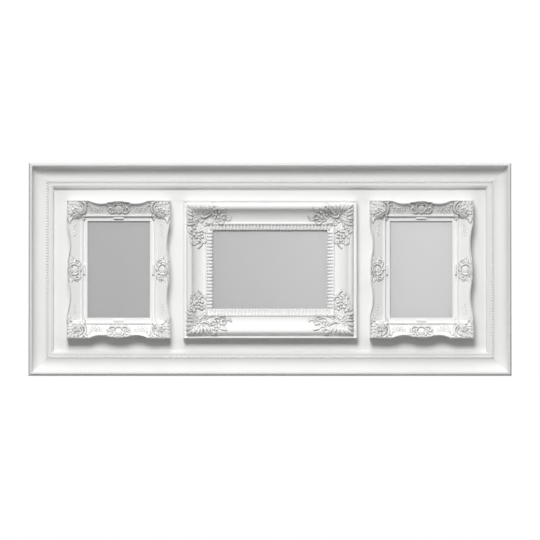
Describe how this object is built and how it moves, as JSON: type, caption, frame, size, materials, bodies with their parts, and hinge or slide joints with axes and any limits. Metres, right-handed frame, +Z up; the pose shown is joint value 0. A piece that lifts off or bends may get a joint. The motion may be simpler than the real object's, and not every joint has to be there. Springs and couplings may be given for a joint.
{
  "type": "collage photo frame",
  "caption": "Wide white wall frame with a rope-edged cove moulding that holds three carved photo frames side by side on a panel.",
  "frame": {"origin": "middle of the plane of the back that lies on the wall", "axes": "+X to the right as seen from the front, +Y from the front to the wall, +Z up"},
  "size_m": [0.7, 0.0396, 0.309],
  "materials": {
    "white_wood": "satin white paint over wood",
    "white_board": "satin white paint over fibreboard",
    "white_casting": "satin white paint over cast resin",
    "hardboard": "smooth brown hardboard",
    "grey_card": null,
    "glass": "clear float glass",
    "zinc": "bright zinc plating",
    "steel_wire": "bare steel"
  },
  "bodies": {
    "frame_body": {"rail_bottom": "white_wood", "rail_left": "white_wood", "rail_top": "white_wood", "rail_right": "white_wood", "corner_v_nails": "steel_wire", "panel_points": "zinc", "mount_panel": "white_board", "left_frame": "white_casting", "left_back_board": "hardboard", "left_photo_card": "grey_card", "left_glass": "glass", "centre_frame": "white_casting", "centre_back_board": "hardboard", "centre_photo_card": "grey_card", "centre_glass": "glass", "right_frame": "white_casting", "right_back_board": "hardboard", "right_photo_card": "grey_card", "right_glass": "glass", "turn_button_screws": "zinc", "casting_brads": "steel_wire", "hanger_plate_left": "zinc", "hanger_plate_right": "zinc", "hanger_screws": "zinc"},
    "left_button_top": {"left_button_top": "zinc"},
    "left_button_bottom": {"left_button_bottom": "zinc"},
    "centre_button_top": {"centre_button_top": "zinc"},
    "centre_button_bottom": {"centre_button_bottom": "zinc"},
    "right_button_top": {"right_button_top": "zinc"},
    "right_button_bottom": {"right_button_bottom": "zinc"},
    "hanger_ring_left": {"hanger_ring_left": "zinc"},
    "hanger_ring_right": {"hanger_ring_right": "zinc"}
  },
  "joints": [
    {"name": "left_button_top_turn", "type": "hinge", "parent": "frame_body", "child": "left_button_top", "pos_m": [-0.21962, -0.0125, 0.0835], "axis": [0, 1, 0], "range_deg": [-90, 90]},
    {"name": "left_button_bottom_turn", "type": "hinge", "parent": "frame_body", "child": "left_button_bottom", "pos_m": [-0.21962, -0.0125, -0.0835], "axis": [0, 1, 0], "range_deg": [-90, 90]},
    {"name": "centre_button_top_turn", "type": "hinge", "parent": "frame_body", "child": "centre_button_top", "pos_m": [0, -0.0125, 0.071], "axis": [0, 1, 0], "range_deg": [-90, 90]},
    {"name": "centre_button_bottom_turn", "type": "hinge", "parent": "frame_body", "child": "centre_button_bottom", "pos_m": [0, -0.0125, -0.071], "axis": [0, 1, 0], "range_deg": [-90, 90]},
    {"name": "right_button_top_turn", "type": "hinge", "parent": "frame_body", "child": "right_button_top", "pos_m": [0.21962, -0.0125, 0.0835], "axis": [0, 1, 0], "range_deg": [-90, 90]},
    {"name": "right_button_bottom_turn", "type": "hinge", "parent": "frame_body", "child": "right_button_bottom", "pos_m": [0.21962, -0.0125, -0.0835], "axis": [0, 1, 0], "range_deg": [-90, 90]},
    {"name": "hanger_ring_left_swing", "type": "hinge", "parent": "frame_body", "child": "hanger_ring_left", "pos_m": [-0.12881, -0.0054, 0.092], "axis": [1, 0, 0], "range_deg": [0, 180]},
    {"name": "hanger_ring_right_swing", "type": "hinge", "parent": "frame_body", "child": "hanger_ring_right", "pos_m": [0.12881, -0.0054, 0.092], "axis": [1, 0, 0], "range_deg": [0, 180]}
  ]
}
